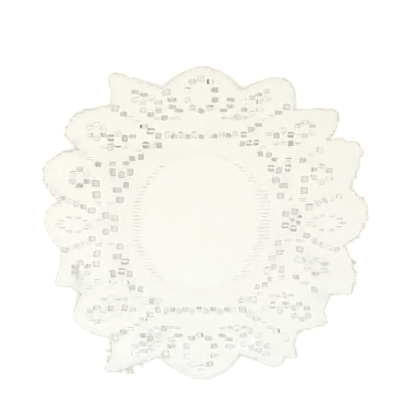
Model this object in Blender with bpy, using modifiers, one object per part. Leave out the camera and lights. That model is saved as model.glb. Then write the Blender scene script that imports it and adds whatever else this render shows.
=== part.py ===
"""Lace doily: one knitted cloth, a plain round centre inside a lattice band and a scalloped border."""

import math
import random

import bmesh
import bpy

MM = 0.001  # every length here is in millimetres until the mesh is made
SHEET_THICKNESS = 1.0
CENTRE_REACH = 29.0  # disc in the middle of the plain knitting
FLAT_REACH = 36.0  # everything inside this rests flat
RING_POINTS = 48
EDGE_STEP = 2.25  # one picot to each course of the knitting
PICOT_REACH = 0.3
EDGE_CLEARANCE = 0.6  # cloth kept between a gap and the edge
GAP_CLEARANCE = 0.5  # cloth kept between two gaps
CORNER_CUT = 0.22  # share of a gap's side lost at each rounded corner
CORNERED_GAP = 3.4  # gaps at least this wide and tall have rounded corners
BORDER_RISE = 0.6  # the lattice band and the petals stand off the table a little
RISE_LENGTH = 17.0  # how far outside the flat centre the border reaches that height
SETTLE_FROM = 86.0  # from here out the petals come back down
SETTLE_TO = 104.0
SETTLE_SHARE = 0.85  # share of the height lost by the tips
CURVE_STEPS = 24  # points between two knots of a curve, before they are spaced evenly
FEWEST_POINTS = 4
PICOT_SIZES = (0.4, 1.0)  # least and most, as shares of the reach
PICOT_VALLEY = -0.4
GAP_LEAN = 0.12  # most that a gap's sides lean, across for each mm up
GAP_SLOPE = 0.07  # most that its ends slope, up for each mm across
NEIGHBOUR_REACH = 12.0  # gaps further apart than this never touch
WELD = 0.02  # points this close are one
LONGEST_EDGE = 9.0  # a longer line across the border is halved, so that it follows the swells
SEED = 16
QUARTERS = ((1, 1), (-1, 1), (-1, -1), (1, -1))  # sides that the quarter is mirrored to, across and up

COTTON_COLOUR = (0.93, 0.93, 0.87, 1.0)
COTTON_ROUGHNESS = 0.9

# Scallops, anticlockwise from the right: where each starts, rises, tips and falls (across, up in mm).
SCALLOPS = (
    # name, notch, rise, tip, fall
    ("right", (90.4, -14.2), (101.0, -5.8), (105.2, 10.4), (98.4, 17.6)),
    ("right shoulder", (94.3, 22.5), (98.7, 33.0), (101.0, 48.6), (92.5, 52.6)),
    ("upper right", (79.4, 52.7), (85.1, 59.1), (85.7, 70.2), (74.3, 72.2)),
    ("top right", (59.1, 71.4), (59.4, 81.3), (55.9, 89.5), (44.5, 92.1)),
    ("top", (25.1, 84.5), (17.1, 92.7), (0.0, 99.1), (-17.1, 92.1)),
    ("top left", (-25.1, 85.4), (-38.1, 90.2), (-57.8, 94.6), (-57.8, 82.6)),
    ("upper left", (-57.8, 74.0), (-71.1, 72.1), (-82.6, 66.4), (-86.0, 56.5)),
    ("left shoulder", (-77.8, 46.4), (-87.6, 44.8), (-99.7, 35.6), (-98.7, 24.1)),
    ("left", (-89.5, 13.3), (-95.9, 10.5), (-100.0, 1.0), (-95.6, -9.2)),
    ("left hip", (-89.2, -17.1), (-89.8, -27.6), (-92.4, -38.6), (-81.0, -41.2)),
    ("lower left", (-75.9, -45.1), (-79.7, -52.1), (-81.0, -61.6), (-71.1, -69.2)),
    ("bottom left", (-58.1, -73.0), (-57.6, -83.2), (-61.0, -94.4), (-44.5, -91.2)),
    ("bottom", (-27.2, -84.9), (-15.9, -93.2), (-0.6, -99.7), (15.9, -93.7)),
    ("bottom right", (24.4, -83.5), (33.0, -85.7), (45.7, -91.4), (52.1, -88.9)),
    ("right corner", (53.0, -85.7), (57.2, -85.6), (60.6, -86.0), (59.1, -77.5)),
    ("lower right", (61.0, -68.9), (71.1, -66.4), (79.1, -62.9), (78.2, -55.4)),
    ("right hip", (82.0, -45.1), (93.8, -45.2), (96.2, -41.0), (96.2, -26.5)),
)

# Straight runs of gaps in one quarter of the cloth, in mm.
GAP_RUNS = (
    # name, first (across, up), last (across, up), count, first (wide, tall), last (wide, tall)
    ("lattice by the axis", (55.1, 3.5), (60.6, 5.1), 2, (4.8, 3.5), (4.4, 3.8)),
    ("lattice low inner", (52.1, 14.8), (53.3, 21.0), 2, (4.8, 3.8), (5.4, 3.2)),
    ("lattice middle", (48.6, 25.2), (50.5, 30.6), 2, (5.0, 3.4), (4.1, 4.1)),
    ("lattice outer", (56.1, 32.1), (56.5, 37.4), 2, (3.8, 4.7), (3.8, 1.9)),
    ("lattice high inner", (45.3, 32.2), (47.6, 37.8), 2, (4.1, 4.1), (3.5, 2.2)),
    ("lattice turn", (43.8, 41.0), (38.4, 41.9), 2, (3.5, 3.2), (3.5, 3.5)),
    ("lattice end", (35.4, 49.5), (26.7, 49.2), 3, (3.3, 3.8), (3.3, 3.2)),
    ("arch high", (0.0, 54.6), (18.2, 54.9), 3, (3.4, 2.9), (3.4, 2.9)),
    ("arch low", (4.6, 56.0), (22.7, 56.0), 3, (3.5, 4.1), (3.5, 4.1)),
    ("rib to the side, inner", (69.7, 8.3), (69.7, 8.3), 1, (4.8, 3.4), (4.8, 3.4)),
    ("rib to the side, outer", (74.8, 10.4), (87.0, 15.6), 4, (3.5, 3.1), (3.3, 2.9)),
    ("shoulder pair", (66.5, 18.1), (66.9, 25.1), 2, (4.8, 4.4), (4.8, 4.4)),
    ("rib from shoulder", (65.7, 37.2), (76.2, 44.4), 2, (3.5, 2.9), (3.5, 3.5)),
    ("petal bar", (57.6, 48.2), (57.6, 48.2), 1, (3.5, 3.8), (3.5, 3.8)),
    ("petal pair", (48.6, 53.8), (57.5, 54.0), 2, (3.8, 4.1), (3.8, 3.8)),
    ("petal step", (43.6, 55.0), (52.9, 57.0), 2, (3.8, 2.0), (3.5, 3.6)),
    ("rib to corner, inner", (27.3, 55.3), (32.1, 58.3), 2, (3.8, 3.8), (4.6, 3.8)),
    ("rib to corner, middle", (36.6, 61.3), (36.6, 61.3), 1, (4.3, 2.2), (4.3, 2.2)),
    ("rib to corner, outer", (49.3, 69.2), (54.5, 72.9), 2, (4.0, 2.8), (4.6, 4.2)),
    ("tall petal bar", (23.3, 66.7), (23.3, 66.7), 1, (3.8, 3.2), (3.8, 3.2)),
    ("tall petal tail", (36.6, 81.2), (41.9, 83.2), 2, (4.1, 2.2), (3.8, 2.3)),
    ("tall petal barb", (41.9, 78.1), (41.9, 78.1), 1, (3.8, 2.5), (3.8, 2.5)),
    ("rib to bottom, inner", (14.0, 71.3), (18.4, 73.7), 2, (4.6, 2.2), (3.8, 2.4)),
    ("rib to bottom, outer", (18.6, 78.1), (22.2, 83.0), 2, (4.8, 2.5), (5.0, 4.4)),
)

# Rings of gaps round a motif in one quarter of the cloth, in mm and degrees.
GAP_RINGS = (
    # name, middle (across, up), half across, half up, count, first turn, wide, tall
    ("shoulder flower", (77.2, 28.9), 5.4, 5.1, 6, 30.0, 3.6, 2.6),
    ("upper flower", (66.4, 58.1), 5.0, 4.4, 6, 30.0, 3.5, 2.4),
    ("tall flower", (32.1, 74.0), 5.5, 5.2, 6, 30.0, 3.6, 2.6),
    ("bottom flower", (0.0, 81.3), 9.1, 10.2, 10, 90.0, 3.9, 2.9),
)

# Gaps that no other quarter has.
LONE_GAPS = (
    # name, across, up, wide, tall
    ("bottom left heart", -32.3, -73.2, 3.9, 3.9),
)

# Where the cloth was pulled out of true when it was laid, in mm.
DRIFTS = (
    # name, middle (across, up), reach, push (across, up)
    ("lower right", (63.5, -38.1), 28.6, (-5.7, 2.9)),
    ("upper right", (57.2, 28.6), 38.1, (-1.3, 2.9)),
    ("bottom", (0.0, -55.9), 25.4, (-1.3, 0.0)),
    ("left hip", (-77.0, -13.0), 15.0, (0.8, -2.4)),
    ("right hip", (78.0, -12.0), 15.0, (-0.9, -3.2)),
)

# How that height changes round the doily, as waves to a turn, with the angle of a crest in degrees.
SWAYS = (
    # name, waves, crest, share of the height
    ("higher at the top", 1, 100.0, 0.22),
    ("three broad waves", 3, 20.0, 0.1),
    ("five small waves", 5, 70.0, 0.08),
)

# Swells where the border lifts further off the table, in mm and degrees.
SWELLS = (
    # name, middle (across, up), turn, half length, half width, rise
    ("right hip", (84.0, -33.0), -25.0, 17.0, 9.0, 0.8),
    ("right", (88.0, 3.0), 5.0, 15.0, 9.0, 0.6),
    ("lower left", (-72.0, -44.0), 32.0, 15.0, 5.0, 0.9),
    ("bottom left", (-44.0, -80.0), 60.0, 14.0, 7.0, 0.6),
    ("bottom right", (38.0, -75.0), -65.0, 13.0, 7.0, 0.5),
    ("left shoulder", (-80.0, 30.0), -20.0, 13.0, 7.0, 0.5),
    ("upper right", (68.0, 58.0), 40.0, 14.0, 7.0, 0.6),
    ("top", (0.0, 84.0), 90.0, 12.0, 9.0, 0.4),
)


def clear_scene():
    for item in list(bpy.data.objects):
        bpy.data.objects.remove(item, do_unlink=True)


def spline_through(knots, steps):
    """Points of a centripetal curve through the knots, its last knot left off."""
    first = (2 * knots[0][0] - knots[1][0], 2 * knots[0][1] - knots[1][1])
    last = (2 * knots[-1][0] - knots[-2][0], 2 * knots[-1][1] - knots[-2][1])
    held = [first, *knots, last]
    points = []
    for four in zip(held, held[1:], held[2:], held[3:]):
        at = [0.0]
        for before, after in zip(four, four[1:]):
            at.append(at[-1] + math.sqrt(math.dist(before, after)))
        for step in range(steps):
            t = at[1] + (at[2] - at[1]) * step / steps
            level = list(four)
            for width in (1, 2, 3):
                level = [
                    blend(level[i], level[i + 1], *span(at, i, width), t)
                    for i in range(4 - width)
                ]
            points.append(level[0])
    return points


def span(at, start, width):
    """The stretch of parameter that one step of the curve blends over."""
    if width == 3:
        return at[1], at[2]
    return at[start], at[start + width]


def blend(a, b, start, end, t):
    share = (t - start) / (end - start)
    return (a[0] + (b[0] - a[0]) * share, a[1] + (b[1] - a[1]) * share)


def respaced(points, step):
    """The same open line with its points one even step apart, its last point left off."""
    travelled = [0.0]
    for before, after in zip(points, points[1:]):
        travelled.append(travelled[-1] + math.dist(before, after))
    count = max(FEWEST_POINTS, round(travelled[-1] / step))
    spaced = []
    place = 0
    for index in range(count):
        wanted = travelled[-1] * index / count
        while travelled[place + 1] < wanted:
            place += 1
        spaced.append(blend(points[place], points[place + 1], travelled[place], travelled[place + 1], wanted))
    return spaced


def cloth_edge(chance):
    """The scalloped edge, with a small picot at every other point."""
    edge = []
    for index, (_, notch, rise, tip, fall) in enumerate(SCALLOPS):
        following = SCALLOPS[(index + 1) % len(SCALLOPS)][1]
        knots = [notch, rise, tip, fall, following]
        line = respaced(spline_through(knots, CURVE_STEPS) + [knots[-1]], EDGE_STEP / 2)
        for place, (x, y) in enumerate(line):
            reach = math.hypot(x, y)
            outward = PICOT_REACH * chance.uniform(*PICOT_SIZES) * (1 if place % 2 else PICOT_VALLEY)
            if place == 0:
                outward = 0.0
            edge.append((x * (1 + outward / reach), y * (1 + outward / reach)))
    return edge


def drifted(x, y):
    """Where a point of the true pattern lies on the cloth as it was laid."""
    for _, middle, reach, push in DRIFTS:
        share = math.exp(-((math.dist((x, y), middle) / reach) ** 2))
        x, y = x + push[0] * share, y + push[1] * share
    return x, y


def quarter_gaps():
    """Every gap of one quarter as (across, up, wide, tall)."""
    gaps = []
    for _, first, last, count, first_size, last_size in GAP_RUNS:
        for index in range(count):
            share = index / (count - 1) if count > 1 else 0.0
            gaps.append(tuple(a + (b - a) * share for a, b in zip((*first, *first_size), (*last, *last_size))))
    for _, middle, half_across, half_up, count, first_turn, wide, tall in GAP_RINGS:
        for index in range(count):
            turn = math.radians(first_turn + 360.0 * index / count)
            across = middle[0] + half_across * math.cos(turn)
            gaps.append((across, middle[1] + half_up * math.sin(turn), wide, tall))
    return gaps


def gap_outline(across, up, wide, tall, chance):
    """The corners of one gap, a little out of true as knitted holes are."""
    lean = chance.uniform(-GAP_LEAN, GAP_LEAN)
    slope = chance.uniform(-GAP_SLOPE, GAP_SLOPE)
    if min(wide, tall) >= CORNERED_GAP:
        near = 1 - 2 * CORNER_CUT
        corners = [(1, -near), (1, near), (near, 1), (-near, 1), (-1, near), (-1, -near), (-near, -1), (near, -1)]
    else:
        corners = [(1, -1), (1, 1), (-1, 1), (-1, -1)]
    outline = []
    for right, top in corners:
        x = right * wide / 2 + lean * top * tall / 2
        y = top * tall / 2 + slope * right * wide / 2
        outline.append(drifted(across + x, up + y))
    return outline


def distance_to_line(point, start, end):
    length = math.dist(start, end) ** 2
    share = ((point[0] - start[0]) * (end[0] - start[0]) + (point[1] - start[1]) * (end[1] - start[1])) / length
    share = min(1.0, max(0.0, share))
    nearest = (start[0] + (end[0] - start[0]) * share, start[1] + (end[1] - start[1]) * share)
    return math.dist(point, nearest)


def inside(point, outline):
    crossings = 0
    for start, end in zip(outline, outline[1:] + outline[:1]):
        if (start[1] > point[1]) != (end[1] > point[1]):
            at = start[0] + (point[1] - start[1]) / (end[1] - start[1]) * (end[0] - start[0])
            crossings += at > point[0]
    return crossings % 2 == 1


def clearance(outline, other):
    """The least distance between two closed outlines that don't cross."""
    least = math.inf
    for one, two in ((outline, other), (other, outline)):
        for point in one:
            for start, end in zip(two, two[1:] + two[:1]):
                least = min(least, distance_to_line(point, start, end))
    return least


def all_gaps(edge, chance):
    """Every gap of the cloth, without those that would break the edge or each other."""
    kept = []
    placed = [gap[1:] for gap in LONE_GAPS]
    for across, up, wide, tall in quarter_gaps():
        placed += [(side * across, end * up, wide, tall) for side, end in QUARTERS]
    for across, up, wide, tall in placed:
        outline = gap_outline(across, up, wide, tall, chance)
        if not all(inside(point, edge) for point in outline):
            continue
        if clearance(outline, edge) < EDGE_CLEARANCE:
            continue
        near = [gap for gap in kept if math.dist(gap[0], outline[0]) < NEIGHBOUR_REACH]
        if any(inside(outline[0], gap) or clearance(outline, gap) < GAP_CLEARANCE for gap in near):
            continue
        kept.append(outline)
    return kept


def circle(reach):
    turns = [2 * math.pi * index / RING_POINTS for index in range(RING_POINTS)]
    return [(reach * math.cos(turn), reach * math.sin(turn)) for turn in turns]


def flat_region(name, outlines):
    """A flat filled mesh: the first outline is its rim and the rest are gaps in it."""
    curve = bpy.data.curves.new(name, "CURVE")
    curve.dimensions = "2D"
    curve.fill_mode = "BOTH"
    for outline in outlines:
        line = curve.splines.new("POLY")
        line.points.add(len(outline) - 1)
        for point, (x, y) in zip(line.points, outline):
            point.co = (x, y, 0.0, 1.0)
        line.use_cyclic_u = True
    holder = bpy.data.objects.new(name, curve)
    bpy.context.scene.collection.objects.link(holder)
    bpy.context.view_layer.update()
    evaluated = holder.evaluated_get(bpy.context.evaluated_depsgraph_get())
    mesh = bpy.data.meshes.new_from_object(evaluated)
    bpy.data.objects.remove(holder, do_unlink=True)
    return mesh


def eased(value, start, end):
    """0 before the start and 1 after the end, with a smooth change between."""
    share = min(1.0, max(0.0, (value - start) / (end - start)))
    return share * share * (3 - 2 * share)


def lift(x, y):
    """How far the underside of the cloth stands off the table."""
    reach = math.hypot(x, y)
    if reach <= FLAT_REACH + WELD:
        return 0.0
    height = BORDER_RISE * (1 - SETTLE_SHARE * eased(reach, SETTLE_FROM, SETTLE_TO))
    turn = math.atan2(y, x)
    height *= 1 + sum(share * math.cos(waves * (turn - math.radians(crest))) for _, waves, crest, share in SWAYS)
    for _, middle, lie, half_length, half_width, rise in SWELLS:
        east, north = x - middle[0], y - middle[1]
        cos, sin = math.cos(math.radians(lie)), math.sin(math.radians(lie))
        along, beside = east * cos + north * sin, north * cos - east * sin
        height += rise * math.exp(-((along / half_length) ** 2) - (beside / half_width) ** 2)
    return height * eased(reach, FLAT_REACH, FLAT_REACH + RISE_LENGTH)


def even_out(work):
    """Turns long thin triangles into fuller ones."""
    inner = [line for line in work.edges if not line.is_boundary]
    bmesh.ops.beautify_fill(work, faces=work.faces, edges=inner, method="AREA")


def crosses_border(line):
    """Whether this edge is too long to follow the swells of the border."""
    middle = (line.verts[0].co + line.verts[1].co) / 2
    return not line.is_boundary and line.calc_length() > LONGEST_EDGE and middle.length > FLAT_REACH


def cloth_mesh():
    chance = random.Random(SEED)
    edge = cloth_edge(chance)
    gaps = all_gaps(edge, chance)
    regions = [
        flat_region("centre", [circle(CENTRE_REACH)]),
        flat_region("plain ring", [circle(FLAT_REACH), circle(CENTRE_REACH)]),
        flat_region("border", [edge, circle(FLAT_REACH), *gaps]),
    ]
    work = bmesh.new()
    for region in regions:
        work.from_mesh(region)
        bpy.data.meshes.remove(region)
    bmesh.ops.remove_doubles(work, verts=work.verts, dist=WELD)
    bmesh.ops.reverse_faces(work, faces=[face for face in work.faces if face.normal.z < 0])
    even_out(work)
    long_edges = [line for line in work.edges if crosses_border(line)]
    bmesh.ops.subdivide_edges(work, edges=long_edges, cuts=1)
    bmesh.ops.triangulate(work, faces=work.faces)
    even_out(work)
    across = [vertex.co.x for vertex in work.verts]
    up = [vertex.co.y for vertex in work.verts]
    middle_x, middle_y = (min(across) + max(across)) / 2, (min(up) + max(up)) / 2
    for vertex in work.verts:
        x, y = vertex.co.x, vertex.co.y
        vertex.co = ((x - middle_x) * MM, (y - middle_y) * MM, lift(x, y) * MM)
    mesh = bpy.data.meshes.new("doily")
    work.to_mesh(mesh)
    work.free()
    return mesh


def cotton():
    material = bpy.data.materials.new("lace")
    material.use_nodes = True
    shader = material.node_tree.nodes["Principled BSDF"]
    shader.inputs["Base Color"].default_value = COTTON_COLOUR
    shader.inputs["Roughness"].default_value = COTTON_ROUGHNESS
    shader.inputs["Metallic"].default_value = 0.0
    return material


def build():
    clear_scene()
    collection = bpy.data.collections.new("lace doily")
    bpy.context.scene.collection.children.link(collection)
    mesh = cloth_mesh()
    mesh.materials.append(cotton())
    doily = bpy.data.objects.new("doily", mesh)
    collection.objects.link(doily)
    thickness = doily.modifiers.new("thickness", "SOLIDIFY")
    thickness.thickness = SHEET_THICKNESS * MM
    thickness.offset = 1.0


build()
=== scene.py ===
import math
import random

import bpy
import numpy as np
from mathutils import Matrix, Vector, kdtree
from mathutils.geometry import delaunay_2d_cdt


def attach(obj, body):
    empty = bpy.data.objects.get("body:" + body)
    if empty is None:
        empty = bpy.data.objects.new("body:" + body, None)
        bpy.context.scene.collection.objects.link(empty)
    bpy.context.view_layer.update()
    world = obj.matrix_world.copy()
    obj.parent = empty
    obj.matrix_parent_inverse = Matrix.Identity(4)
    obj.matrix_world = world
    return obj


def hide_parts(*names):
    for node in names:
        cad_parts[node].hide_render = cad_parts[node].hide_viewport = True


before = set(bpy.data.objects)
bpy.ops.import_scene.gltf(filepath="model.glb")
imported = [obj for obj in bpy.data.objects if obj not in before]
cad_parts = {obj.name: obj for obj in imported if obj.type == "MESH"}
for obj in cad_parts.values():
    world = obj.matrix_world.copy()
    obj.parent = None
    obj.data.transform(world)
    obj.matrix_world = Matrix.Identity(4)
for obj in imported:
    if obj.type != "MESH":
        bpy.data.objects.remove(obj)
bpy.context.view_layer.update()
print("frame loaded")

mm = 0.001  # the pattern is drawn in millimetres and turned into metres when a mesh is made

# Scallops, anticlockwise from the right: where each starts, rises, tips and falls.
scallops = [
    # name, notch, rise, tip, fall, raggedness
    ("right", (90.4, -14.2), (101.0, -5.8), (105.2, 10.4), (98.4, 17.6), 1.0),
    ("right shoulder", (94.3, 22.5), (98.7, 33.0), (101.0, 48.6), (92.5, 52.6), 0.9),
    ("upper right", (79.4, 52.7), (85.1, 59.1), (85.7, 70.2), (74.3, 72.2), 0.7),
    ("top right", (59.1, 71.4), (59.4, 81.3), (55.9, 89.5), (44.5, 92.1), 0.5),
    ("top", (25.1, 84.5), (17.1, 92.7), (0.0, 99.1), (-17.1, 92.1), 0.5),
    ("top left", (-25.1, 85.4), (-38.1, 90.2), (-57.8, 94.6), (-57.8, 82.6), 0.5),
    ("upper left", (-57.8, 74.0), (-71.1, 72.1), (-82.6, 66.4), (-86.0, 56.5), 0.8),
    ("left shoulder", (-77.8, 46.4), (-87.6, 44.8), (-99.7, 35.6), (-98.7, 24.1), 0.8),
    ("left", (-89.5, 13.3), (-95.9, 10.5), (-100.0, 1.0), (-95.6, -9.2), 0.15),
    ("left hip", (-89.2, -17.1), (-89.8, -27.6), (-92.4, -38.6), (-81.0, -41.2), 0.25),
    ("lower left", (-75.9, -45.1), (-79.7, -52.1), (-81.0, -61.6), (-71.1, -69.2), 0.2),
    ("bottom left", (-58.1, -73.0), (-57.6, -83.2), (-61.0, -94.4), (-44.5, -91.2), 0.5),
    ("bottom", (-27.2, -84.9), (-15.9, -93.2), (-0.6, -99.7), (15.9, -93.7), 0.2),
    ("bottom right", (24.4, -83.5), (33.0, -85.7), (45.7, -91.4), (52.1, -88.9), 0.35),
    ("right corner", (53.0, -85.7), (57.2, -85.6), (60.6, -86.0), (59.1, -77.5), 0.45),
    ("lower right", (61.0, -68.9), (71.1, -66.4), (79.1, -62.9), (78.2, -55.4), 0.45),
    ("right hip", (82.0, -45.1), (93.8, -45.2), (96.2, -41.0), (96.2, -26.5), 0.85),
]

# Straight runs of gaps in one quarter. veil is the share of them that has threads across.
gapRuns = [
    # name, first, last, count, first (wide, tall), last (wide, tall), veil
    ("lattice by the axis", (55.1, 3.5), (60.6, 5.1), 2, (4.8, 3.5), (4.4, 3.8), 0.1),
    ("lattice slit", (57.5, 12.7), (57.5, 12.7), 1, (3.8, 0.9), (3.8, 0.9), 1.0),
    ("lattice low inner", (51.6, 14.8), (53.3, 21.0), 2, (4.8, 3.8), (5.4, 3.2), 0.0),
    ("lattice middle", (48.4, 24.4), (50.5, 30.6), 2, (5.1, 3.6), (4.1, 4.1), 0.0),
    ("lattice outer", (56.1, 32.1), (56.5, 37.4), 2, (3.8, 4.7), (3.8, 1.9), 0.5),
    ("lattice high inner", (45.3, 32.2), (47.6, 37.8), 2, (4.1, 4.1), (3.5, 2.2), 0.3),
    ("lattice turn", (43.8, 41.0), (38.4, 41.9), 2, (3.5, 3.2), (3.5, 3.5), 0.5),
    ("lattice turn slit", (39.7, 46.0), (39.7, 46.0), 1, (3.2, 0.8), (3.2, 0.8), 1.0),
    ("lattice end", (35.4, 49.5), (26.7, 49.2), 3, (3.3, 3.8), (3.3, 3.2), 0.7),
    ("arch high", (0.0, 54.6), (17.4, 54.9), 3, (3.0, 2.6), (3.0, 2.6), 0.2),
    ("arch low", (4.4, 55.9), (21.8, 55.9), 3, (3.1, 3.3), (3.1, 3.3), 0.95),
    ("rib to the side, slit", (65.4, 12.3), (65.4, 12.3), 1, (4.4, 1.0), (4.4, 1.0), 1.0),
    ("rib to the side, inner", (69.7, 8.3), (69.7, 8.3), 1, (4.8, 3.4), (4.8, 3.4), 0.0),
    ("rib to the side, outer", (74.8, 10.6), (88.0, 15.6), 4, (3.4, 2.8), (2.9, 2.4), 0.95),
    ("shoulder pair", (66.5, 18.1), (66.9, 25.1), 2, (4.8, 4.4), (4.8, 4.4), 0.1),
    ("rib from shoulder", (65.7, 37.2), (76.2, 44.4), 2, (3.5, 2.9), (3.5, 3.5), 0.3),
    ("rib from shoulder, slit", (71.0, 40.8), (71.0, 40.8), 1, (4.2, 0.9), (4.2, 0.9), 1.0),
    ("petal bar", (57.6, 48.2), (57.6, 48.2), 1, (3.5, 3.8), (3.5, 3.8), 0.9),
    ("petal slits", (48.2, 48.1), (52.9, 48.4), 2, (3.4, 0.75), (3.4, 0.75), 1.0),
    ("petal end slit", (62.0, 48.3), (62.0, 48.3), 1, (3.4, 0.75), (3.4, 0.75), 1.0),
    ("petal pair", (48.6, 53.8), (57.5, 54.0), 2, (3.8, 4.1), (3.8, 3.8), 0.0),
    ("petal step", (43.6, 55.0), (52.9, 57.0), 2, (3.8, 2.0), (3.5, 3.6), 0.9),
    ("rib to corner, inner", (27.3, 55.3), (32.1, 58.3), 2, (3.8, 3.8), (4.6, 3.8), 0.0),
    ("rib to corner, middle", (36.6, 61.3), (36.6, 61.3), 1, (4.3, 2.2), (4.3, 2.2), 0.3),
    ("rib to corner, slits", (40.9, 64.4), (45.2, 66.9), 2, (3.8, 0.9), (4.3, 1.0), 1.0),
    ("rib to corner, outer", (49.3, 69.2), (54.5, 72.9), 2, (4.0, 2.8), (4.6, 4.2), 0.0),
    ("tall petal bar", (23.3, 66.7), (23.3, 66.7), 1, (3.8, 3.2), (3.8, 3.2), 0.5),
    ("tall petal slits", (14.4, 66.6), (19.0, 66.3), 2, (3.4, 0.75), (3.4, 0.75), 1.0),
    ("tall petal end slit", (28.1, 66.3), (28.1, 66.3), 1, (3.4, 0.75), (3.4, 0.75), 1.0),
    ("tall petal tail", (36.6, 81.2), (41.9, 83.2), 2, (4.1, 2.2), (3.8, 2.3), 0.4),
    ("tall petal barb", (41.9, 78.1), (41.9, 78.1), 1, (3.8, 2.5), (3.8, 2.5), 0.9),
    ("rib to bottom, inner", (14.0, 71.3), (18.4, 73.7), 2, (4.6, 2.2), (3.8, 2.4), 0.1),
    ("rib to bottom, outer", (18.6, 78.1), (22.2, 83.0), 2, (4.8, 2.5), (5.0, 4.4), -0.1),
]

# Rings of gaps round a motif in one quarter.
gapRings = [
    # name, middle, half across, half up, count, first turn, wide, tall, veil
    ("shoulder flower", (77.2, 28.9), 5.4, 5.1, 6, 30.0, 3.6, 2.6, 0.85),
    ("upper flower", (66.4, 58.1), 5.0, 4.4, 6, 30.0, 3.5, 2.4, 0.85),
    ("tall flower", (32.1, 74.0), 5.5, 5.2, 6, 30.0, 3.6, 2.6, 0.8),
    ("bottom flower", (0.0, 81.3), 9.1, 10.2, 10, 90.0, 3.9, 2.9, 0.65),
    ("side leaf", (81.3, 0.0), 9.2, 4.2, 10, 0.0, 3.4, 0.55, 1.0),
]

# The quarters of the cloth: how many more of their gaps have threads across, the share of
# the open gaps that one pair of yarns crosses, and how large the gaps are against the chart.
quarters = [
    # name, sides, more veil beside, more veil above or below, crossed, size
    ("upper right", (1, 1), 0.05, 0.1, 0.4, 1.0),
    ("upper left", (-1, 1), -0.05, -0.1, 0.1, 1.07),
    ("lower left", (-1, -1), 0.1, 0.15, 0.2, 1.0),
    ("lower right", (1, -1), 0.2, 0.5, 0.4, 0.97),
]

# Gaps that no other quarter has.
loneGaps = [
    # name, middle, wide, tall, veil, crossed
    ("bottom left heart", (-32.3, -73.2), 3.9, 3.9, 0.0, 0.0),
    ("left hip corner", (-87.0, -15.6), 3.6, 3.2, 0.0, 0.0),
    ("left hip flower, upper", (-80.2, -26.9), 4.4, 2.7, 0.0, 0.0),
    ("left hip flower, lower", (-80.2, -30.8), 4.4, 2.7, 0.0, 0.0),
    ("bottom left corner", (-54.5, -72.9), 4.8, 4.4, 0.0, 0.0),
    ("left leaf stem", (-69.9, -1.4), 3.8, 0.8, 1.0, 0.0),
    ("left leaf stem top", (-65.4, 2.2), 3.4, 0.8, 1.0, 0.0),
    ("right leaf stem", (69.9, -1.4), 3.8, 0.8, 1.0, 0.0),
    ("right leaf stem top", (64.0, 2.2), 3.2, 1.5, 0.0, 0.0),
]

# Gaps that go in last, between the others.
lateGaps = [
    # name, middle, wide, tall, veil, crossed
    ("right lattice, inner", (59.3, 0.1), 2.7, 2.1, 0.0, 0.0),
    ("right lattice, outer", (63.3, -1.3), 2.7, 1.9, 0.0, 0.0),
    ("upper left lattice", (-47.8, 24.2), 3.8, 3.7, 0.0, 0.0),
]

# Gaps whose cover can be read in the photo, by their middles in place.
knownGaps = [
    # veil, crossed, middles
    (0.0, False, [
        (-39.8, 43.2), (-44.0, 40.0), (-48.0, 38.4), (-56.5, 32.2), (-50.5, 30.4),  # upper left lattice
        (-45.7, 32.5), (-52.9, 21.4), (-48.1, 23.9), (-51.4, 14.8), (-60.5, 4.8),  # left lattice
        (-55.2, 4.0), (-61.0, -5.2), (-54.9, -3.2), (-69.7, 8.7), (-66.4, -19.5),  # left hip lattice
        (-67.6, 25.0), (-66.8, 18.2), (-66.0, 37.6), (-74.3, 10.6),  # left shoulder and rib
        (-44.3, -41.0), (-38.7, -41.8), (-31.4, -49.2), (-55.7, -31.4), (-44.6, -32.2),  # lower left lattice
        (37.2, 45.5), (54.2, 5.9), (59.1, 8.3), (61.5, 3.4), (50.7, -28.7),  # right lattice
        (62.5, -16.2), (56.2, 50.8), (71.3, 33.7), (49.1, -18.4),  # right
        (35.6, -40.3), (60.2, -33.8), (52.2, -45.4), (62.2, -51.8), (67.0, -53.7),  # lower right flowers
        (-6.0, -72.7), (7.8, -78.0), (16.5, -55.2), (-22.7, -83.0), (-54.9, -72.7),  # bottom
    ]),
    (0.0, True, [
        (27.0, 50.8), (32.6, 50.8), (54.9, 35.2), (43.0, 43.4), (43.5, 34.4),  # top right band
        (53.0, -1.0), (58.3, -3.6),  # right lattice
        (-50.5, -31.1),  # lower left lattice
    ]),
    (0.95, False, [
        (75.2, 46.4), (68.1, 10.3), (61.8, -22.7), (53.3, -72.2),  # right ribs
        (26.0, -54.9), (30.8, -57.6), (18.1, -78.0),  # bottom
        (-66.0, -37.1), (-72.7, 31.8),  # left
    ]),
    (0.9, False, [
        (80.8, 28.9), (75.9, 25.7),  # right flower
    ]),
]

# Where the cloth was pulled out of true when it was laid.
drifts = [
    # name, middle, reach, push
    ("lower right", (63.5, -38.1), 28.6, (-5.7, 2.9)),
    ("upper right", (57.2, 28.6), 38.1, (-1.3, 2.9)),
    ("bottom", (0.0, -55.9), 25.4, (-1.3, 0.0)),
    ("left hip", (-77.0, -13.0), 15.0, (0.8, -2.4)),
    ("right hip", (78.0, -12.0), 15.0, (-0.9, -3.2)),
]

# How the height of the border changes round the doily.
sways = [
    # name, waves in a turn, angle of a crest, share of the height
    ("higher at the top", 1, 110.0, 0.3),
    ("three broad waves", 3, 20.0, 0.1),
    ("five small waves", 5, 70.0, 0.08),
]

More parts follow.
